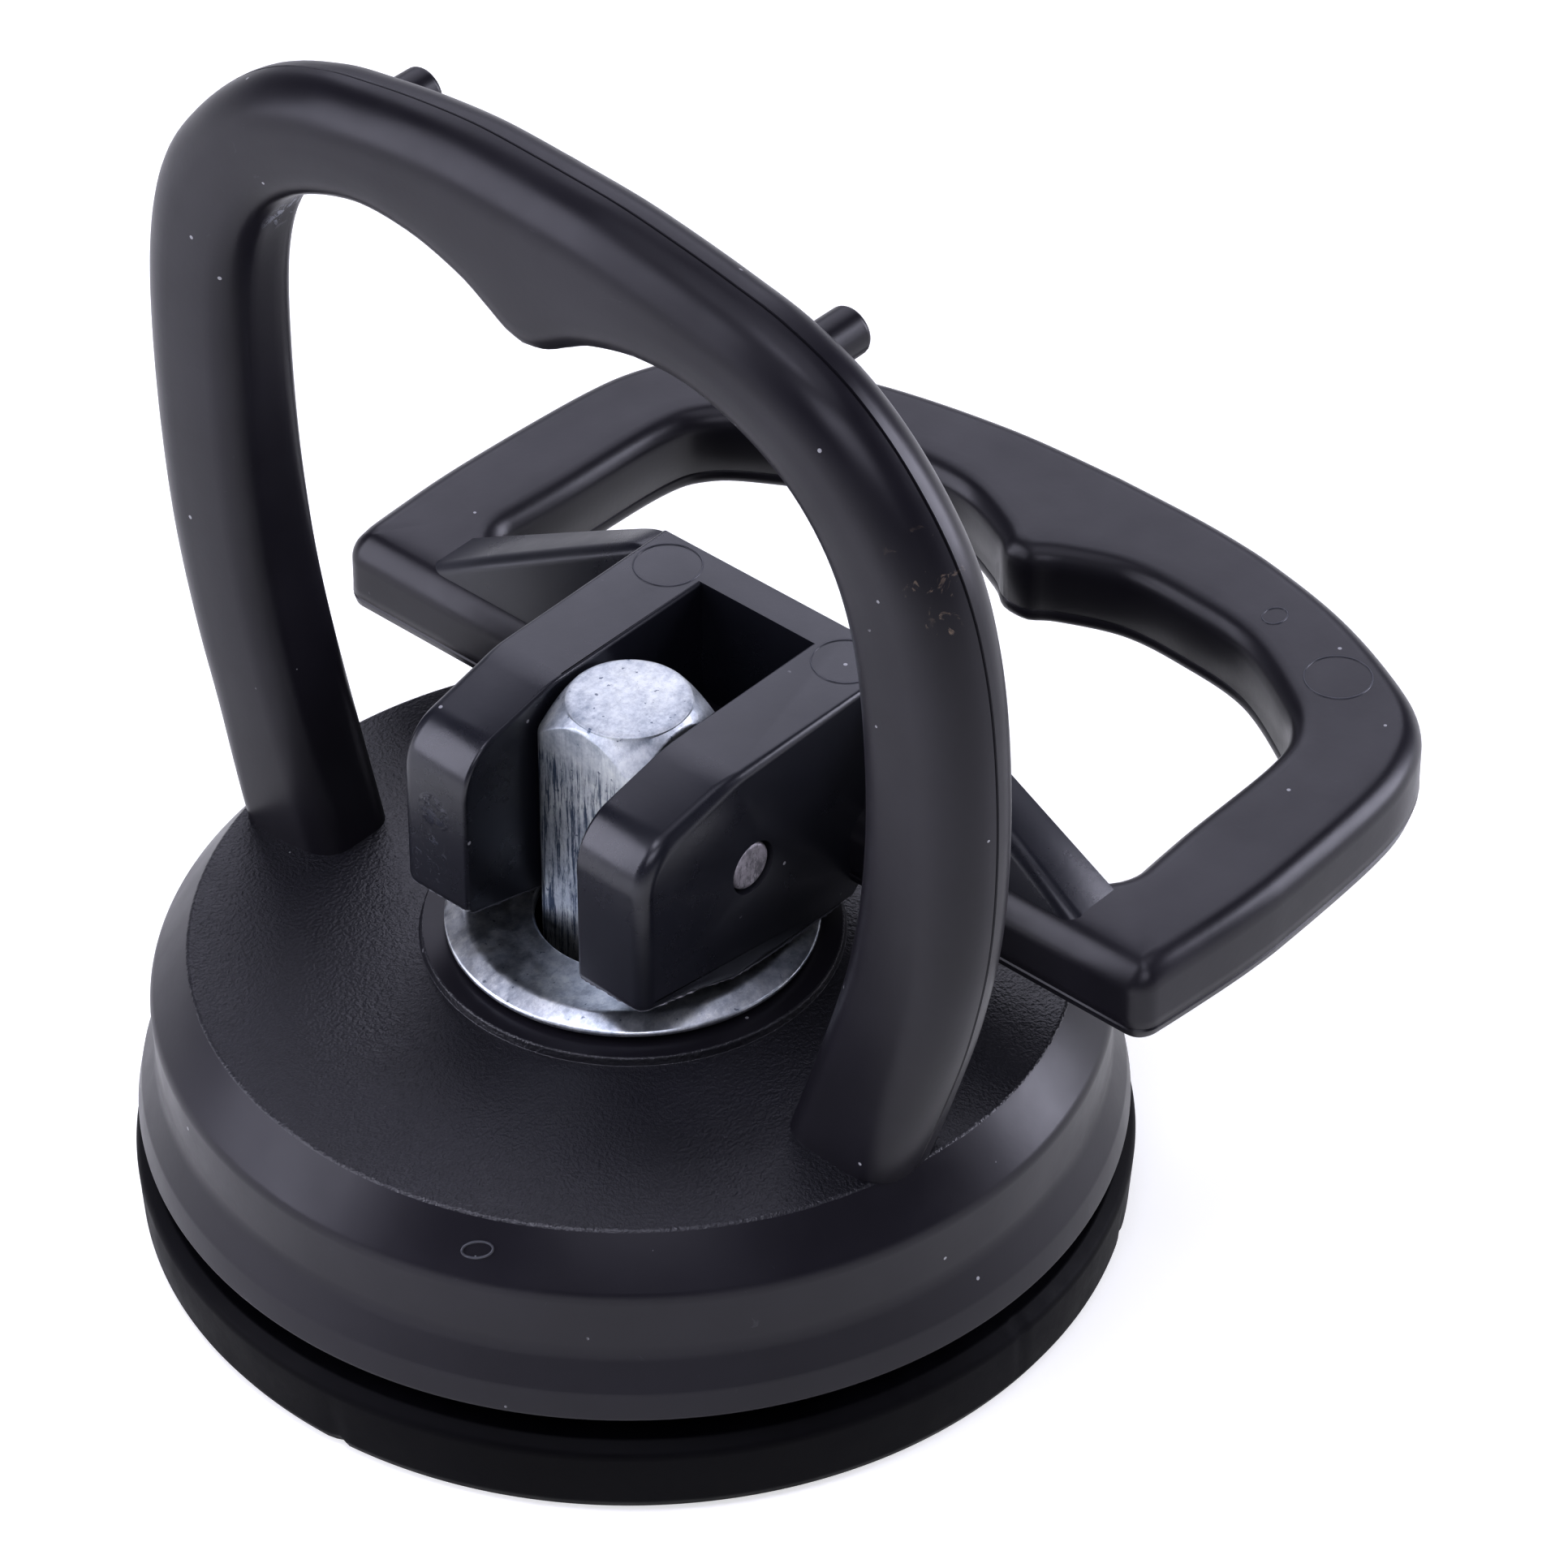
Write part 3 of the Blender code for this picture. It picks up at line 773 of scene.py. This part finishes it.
def cheek(name, inner_y, outer_y):
    """One side plate of the lever. Its outer edge is softest round the nose."""
    outline = np.array(cheek_outline)
    side = np.roll(outline, -1, axis=0) - np.roll(outline, 1, axis=0)
    side /= np.linalg.norm(side, axis=1)[:, None]
    inward = np.stack([-side[:, 1], side[:, 0]], -1)
    centre = outline.mean(axis=0)
    inward *= np.sign(((centre - outline) * inward).sum(axis=1).mean())
    nose = np.clip((2.5 - outline[:, 0]) / 7.0, 0.0, 1.0)
    nose = nose * nose * (3.0 - 2.0 * nose)
    sign = 1.0 if outer_y > inner_y else -1.0
    rows = []
    edges = ((np.full_like(nose, 0.25), inner_y, 1.0), (0.25 + 0.65 * nose, outer_y, -1.0))
    for radius, level, turn in edges:
        angles = np.linspace(0.0, pi / 2, 7)
        for a in angles if turn > 0 else angles[::-1]:
            points = outline + inward * (radius * (1 - sin(a)))[:, None]
            across = level + sign * turn * radius * (1 - cos(a))
            rows.append(np.column_stack([points[:, 0], across, points[:, 1]]))
    return grid(name, rows, lever_plastic, wrap_points=True, cap_ends=True)


fork = cheek("lever_fork", *CHEEK_Y)
others = [cheek("cheek", -CHEEK_Y[0], -CHEEK_Y[1])]
bar_face = [(-5.0, 21.0), (5.0, 21.0), (5.0, CHEEK_TOP_Z), (-5.0, CHEEK_TOP_Z)]
others.append(prism("bar", bar_face, BAR_X, LEVER_BACK_X, "X"))
# The webs fall away from the cheeks towards the finger loop, and their front face leans out downwards.
WEB_BEND_Y = 9.2
WEB_SLOPE = 0.552
WEB_LEAN = 0.16
WEB_EDGE = 0.8
WEB_LOW_Z = 21.4
for side in (-1, 1):
    rows = []
    for away in np.concatenate([[7.5], np.linspace(8.2, 10.4, 10), [14.0, 19.0, 24.2]]):
        past = away - WEB_BEND_Y
        top = CHEEK_TOP_Z - 0.02 - WEB_SLOPE * 0.5 * (past + hypot(past, 0.8))
        edge = BAR_X - WEB_LEAN * (CHEEK_TOP_Z - top)
        section = [(BAR_X - WEB_LEAN * (CHEEK_TOP_Z - WEB_LOW_Z), WEB_LOW_Z)]
        for a in np.linspace(pi / 2, 0.0, 8):
            drop = WEB_EDGE * (1 - cos(a))
            section.append((edge + WEB_EDGE * (1 - sin(a)) - 0.13 * (1 - cos(a)), top - drop))
        section += [(LEVER_BACK_X, top), (LEVER_BACK_X, WEB_LOW_Z)]
        rows.append([(x, side * away, z) for x, z in section])
    others.append(grid("web", rows, lever_plastic, wrap_points=True, cap_ends=True))
join(fork, others)
BORE_RADIUS = 1.6
bore = [(BORE_RADIUS * cos(2 * pi * k / 48), PIN_Z + BORE_RADIUS * sin(2 * pi * k / 48)) for k in range(48)]
join(fork, [prism("bore", bore, -12.0, 12.0, "Y")], "DIFFERENCE")
bevel = fork.modifiers.new("edge", "BEVEL")
bevel.width = 0.25 * MM
bevel.segments = 3
bevel.limit_method = "ANGLE"
bevel.angle_limit = radians(35.0)
bevel.use_clamp_overlap = True
applied(fork)
fork_mesh = fork.data
bpy.data.objects.remove(fork, do_unlink=True)
fork = finish_mesh("lever_fork", fork_mesh, lever_plastic, 30.0)
piece(fork, "lever", "black_plastic", "lever")

# ---------------------------------------------------------------- lever: finger loop

loop_outer_half = smooth_path(
    [
        (0.0, 41.9),
        (7.9, 41.4),
        (16.4, 39.7),
        (23.1, 36.9),
        (26.4, 34.5),
        (28.2, 31.3),
        (29.1, 27.0),
        (29.6, 18.0),
        (29.5, 12.0),
        (29.0, 4.0),
    ]
)
loop_inner_half = smooth_path(
    [
        (0.0, 32.0),
        (1.0, 32.15),
        (2.4, 33.1),
        (6.0, 34.5),
        (10.0, 34.6),
        (14.7, 34.0),
        (18.9, 31.9),
        (21.4, 29.9),
        (22.4, 27.0),
        (22.7, 19.0),
        (23.2, 12.4),
        (23.5, 9.0),
    ]
)
ARM, CORNER, BASE = 90, 9, 30  # points along each half's arm, tip corner and base
LOOP_TIP_RADIUS = 1.3
LOOP_FULLER = 0.4  # how much wider the real loop is on its -Y side
LOOP_FRONT_DROP = 0.7  # how far the top sinks towards the front edge


def loop_outline(path, base_x, shrink, radius, fuller=0.0):
    """Closed outline of (y, x), moved in by shrink: apex, arm, tip corner, base, then the other half back."""
    moved = path + normals(path) * -shrink
    moved[0, 0] = 0.0
    face_x = base_x + shrink
    radius = max(radius - shrink, 0.06)
    keep = moved[:, 1] > face_x + radius
    end_y = np.interp(-(face_x + radius), -moved[:, 1], moved[:, 0])
    arm = resample(np.vstack([moved[keep], [end_y, face_x + radius]]), ARM)
    corner = [
        (end_y - radius * (1 - cos(a)), face_x + radius - radius * sin(a))
        for a in np.linspace(0.0, pi / 2, CORNER + 1)[1:]
    ]
    base = [(y, face_x) for y in np.linspace(end_y - radius, 0.0, BASE + 1)[1:]]
    half = np.vstack([arm, corner, base])
    half[:, 0] = np.maximum(half[:, 0], 0.0)
    other = half * (-1.0, 1.0)
    share = fuller * np.clip(half[:, 0] / 10.0, 0.0, 1.0)
    other[:, 0] -= 0.9 * share * np.clip((half[:, 1] - 8.0) / 10.0, 0.0, 1.0)
    other[:, 1] += share * np.clip((half[:, 1] - 14.0) / 12.0, 0.0, 1.0)
    return np.vstack([half, other[-2:0:-1]])


def loop_rows():
    """Rows round the loop's section: outer wall with its parting line, rounded top, inner wall."""
    low, high = LOOP_Z
    outer_r, inner_r = 1.45, 1.4
    levels = [(0.9, low), (0.42, low + 0.13), (0.12, low + 0.42), (0.0, low + 0.85)]
    levels += [(0.09, low + 0.95), (-0.02, low + 1.05), (0.0, low + 1.6)]
    for a in np.linspace(0.0, pi / 2, 12):
        levels.append((outer_r * (1 - cos(a)), high - outer_r + outer_r * sin(a)))
    rows = []
    for d, z in levels:
        o = loop_outline(loop_outer_half, LOOP_FRONT_X, d, LOOP_TIP_RADIUS, LOOP_FULLER)
        rows.append(np.column_stack([o[:, 1], o[:, 0], np.full(len(o), z)]))
    inner = []
    for a in np.linspace(pi / 2, 0.0, 7):
        inner.append((inner_r * (1 - cos(a)), high - inner_r + inner_r * sin(a)))
    inner += [(0.0, low + 1.1), (0.08, low + 1.0), (0.0, low + 0.9)]
    inner += [(0.6 * (1 - cos(a)), low + 0.6 - 0.6 * sin(a)) for a in np.linspace(0.0, pi / 2, 5)]
    for d, z in inner:
        o = loop_outline(loop_inner_half, LEVER_BACK_X, -d, 2.6)
        rows.append(np.column_stack([o[:, 1], o[:, 0], np.full(len(o), z)]))
    top = len(levels) - 1
    between = [rows[top] * (1 - t) + rows[top + 1] * t for t in (0.25, 0.5, 0.75)]
    rows = np.array(rows[: top + 1] + between + rows[top + 1 :])
    front = np.clip((BAR_X - rows[..., 0]) / 2.4, 0.0, 1.0)
    rows[..., 2] -= LOOP_FRONT_DROP * front**2 * np.clip((rows[..., 2] - 22.0) / 3.3, 0.0, 1.0)
    return rows


loop = grid("finger_loop", loop_rows(), loop_plastic, wrap_rows=True, wrap_points=True, sharp=50.0)
piece(loop, "lever", "black_plastic")


def raised_ring(name, place, size, turn, body):
    """Fine raised line, round or oval, such as a mould's ejector pin leaves. Its lighter grey is painted
    highlight on the raised edge.
    """
    rows = []
    for a in np.linspace(0.0, 2 * pi, 96, endpoint=False):
        row = []
        for out, up in ((-0.075, -0.05), (-0.03, 0.045), (0.03, 0.045), (0.075, -0.05)):
            row.append(((size[0] + out) * cos(a), (size[1] + out) * sin(a), up))
        rows.append(row)
    mark = grid(name, rows, flash_highlight_plastic, wrap_rows=True, wrap_points=True, sharp=80.0)
    mark.matrix_world = Matrix.Translation(Vector(place) * MM) @ turn
    return piece(mark, body, "black_plastic")


def flash_fin(name, path, outward, body):
    """Ragged hair of moulding flash along an edge. Its lighter grey is painted highlight on the thin fin."""
    rng = np.random.default_rng(len(path))
    rows = []
    for point, out in zip(path, outward):
        size = 0.05 + 0.07 * rng.random() ** 2
        sideways, up = np.array(out) * 1.6, np.array((0.0, 0.0, 0.7))
        turn = np.linspace(0, 2 * pi, 7)[:-1]
        rows.append([np.array(point) + size * (cos(a) * sideways + sin(a) * up) for a in turn])
    fin = grid(name, rows, flash_highlight_plastic, wrap_points=True, cap_ends=True, sharp=30.0)
    return piece(fin, body, "black_plastic")


# Places and half sizes of the rings on the lever's top faces.
EJECTOR_MARKS = (
    ((10.15, 6.45, CHEEK_TOP_Z), (1.9, 1.9)),
    ((10.15, -6.45, CHEEK_TOP_Z), (1.9, 1.9)),
    ((34.75, -21.0, LOOP_Z[1]), (1.9, 1.9)),
    ((36.8, -14.9, LOOP_Z[1]), (0.8, 0.65)),
)
for number, (place, size) in enumerate(EJECTOR_MARKS, 1):
    raised_ring("ejector_mark_%d" % number, place, size, Matrix.Identity(4), "lever")
MARK_ANGLE, MARK_RADIUS = radians(-156.2), 25.37
flank_turn = Matrix.Rotation(MARK_ANGLE, 4, "Z") @ Matrix.Rotation(radians(53.4), 4, "Y")
flank_turn = flank_turn @ Matrix.Rotation(pi / 2 + 0.3, 4, "Z")
flank_place = (MARK_RADIUS * cos(MARK_ANGLE), MARK_RADIUS * sin(MARK_ANGLE), 15.72)
raised_ring("moulding_mark", flank_place, (0.85, 0.42), flank_turn, "base")

# Flash runs along each cheek's lower edges: back to the nose outside, across it, and forward again inside.
EDGE_X = (-8.65, -4.6, -1.5, 8.2)
EDGE_Z = (21.45, 20.4, 19.5, 19.45)
for label, sign in (("near", -1.0), ("far", 1.0)):
    path, outward = [], []
    for x in np.arange(7.0, -8.3, -0.2):
        nose = min(max((2.5 - x) / 7.0, 0.0), 1.0)
        radius = 0.25 + 0.65 * nose * nose * (3.0 - 2.0 * nose)
        low = np.interp(x, EDGE_X, EDGE_Z)
        path.append((x, sign * (CHEEK_Y[1] - 0.29 * radius), low + 0.29 * radius))
        outward.append((0.0, sign, 0.0))
    for y in np.arange(CHEEK_Y[1] - 0.5, CHEEK_Y[0] + 0.1, -0.2):
        path.append((-8.42, sign * y, 21.53))
        outward.append((-1.0, 0.0, 0.0))
    for x in np.arange(-8.3, -1.0, 0.2):
        low = np.interp(x, EDGE_X, EDGE_Z)
        path.append((x, sign * (CHEEK_Y[0] + 0.05), low + 0.05))
        outward.append((0.0, -sign, 0.0))
    flash_fin("flash_" + label, path, outward, "lever")

# ---------------------------------------------------------------- floor, light and camera

floor_mat, floor_tree, floor_shader = new_material("floor_paper")
floor_tone = noise(floor_tree, coords(floor_tree), 3.0, 2.0)
floor_tree.links.new(
    ramp(floor_tree, floor_tone, [(0.3, gray(0.50)), (0.7, gray(0.52))]), floor_shader.inputs["Base Color"]
)
floor_shader.inputs["Roughness"].default_value = 0.9
floor_shader.inputs["Emission Color"].default_value = (1.0, 1.0, 1.0, 1.0)
floor_shader.inputs["Emission Strength"].default_value = 0.62
bpy.ops.mesh.primitive_plane_add(size=8.0, location=(0.0, 0.0, 0.0))
floor = bpy.context.object
floor.name = "floor"
floor.data.materials.append(floor_mat)

# The photograph's viewing angle, with a long lens.
EYE = Vector((-225.17, -210.79, 274.89)) * MM
FORWARD = Vector((0.5834, 0.5176, -0.6259)).normalized()
RIGHT = Vector((0.6637, -0.7480, 0.0)).normalized()
UP = RIGHT.cross(FORWARD).normalized()
TINT = (0.866, 0.862, 1.0)  # the photograph's light is slightly violet


def area_light(name, place, target, size, power, spread=pi):
    """Soft box at a place, facing a target; lengths in metres, power in watts."""
    data = bpy.data.lights.new(name, "AREA")
    data.shape = "RECTANGLE"
    data.size, data.size_y = size
    data.energy = power
    data.color = TINT
    data.spread = spread
    light = bpy.data.objects.new(name, data)
    light.location = place
    light.rotation_euler = (Vector(target) - Vector(place)).to_track_quat("-Z", "Y").to_euler()
    bpy.context.scene.collection.objects.link(light)


AIM = Vector((0.005, 0.0, 0.03))
AHEAD = Vector((FORWARD.x, FORWARD.y, 0.0)).normalized()
SKY = Vector((0.0, 0.0, 1.0))
area_light("top_box", AIM + SKY * 0.75 - AHEAD * 0.05, AIM, (0.5, 0.5), 1.5)
area_light("back_box", AIM + AHEAD * 0.80 + SKY * 0.62, AIM, (0.85, 0.75), 4.6)
area_light("left_box", AIM - RIGHT * 0.64 - AHEAD * 0.08 + SKY * 0.34, AIM, (0.5, 0.66), 5.2)
area_light("right_box", AIM + RIGHT * 0.65 + AHEAD * 0.15 + SKY * 0.25, AIM, (0.3, 0.5), 4.6)
area_light("front_box", AIM - AHEAD * 0.62 + SKY * 0.62, AIM, (0.5, 0.3), 2.2)
# A narrow light on the floor left of the cup; its bounce lifts the faces that look that way.
beside = AIM - RIGHT * 0.13 - AHEAD * 0.06
area_light("floor_box", beside + SKY * 0.27, beside, (0.12, 0.30), 0.2, radians(45.0))

world = bpy.data.worlds.new("studio")
world.use_nodes = True
sky_tree = world.node_tree
sky_direction = sky_tree.nodes.new("ShaderNodeTexCoord")
sky_split = sky_tree.nodes.new("ShaderNodeSeparateXYZ")
sky_tree.links.new(sky_direction.outputs["Generated"], sky_split.inputs[0])
HORIZON, ZENITH = (0.81, 0.81, 0.95), (0.080, 0.080, 0.104)
sky_color = ramp(sky_tree, sky_split.outputs[2], [(0.02, HORIZON), (0.28, ZENITH)])
sky_tree.links.new(sky_color, sky_tree.nodes["Background"].inputs[0])
bpy.context.scene.world = world
bpy.context.scene.view_settings.view_transform = "Standard"
bpy.context.scene.view_settings.look = "None"
bpy.context.scene.view_settings.gamma = 0.8

camera_data = bpy.data.cameras.new("camera")
camera_data.sensor_width = 36.0
camera_data.lens = 169.2
camera_data.clip_start = 0.01
camera = bpy.data.objects.new("camera", camera_data)
camera.matrix_world = Matrix.Translation(EYE) @ Matrix((RIGHT, UP, -FORWARD)).transposed().to_4x4()
bpy.context.scene.collection.objects.link(camera)
bpy.context.scene.camera = camera
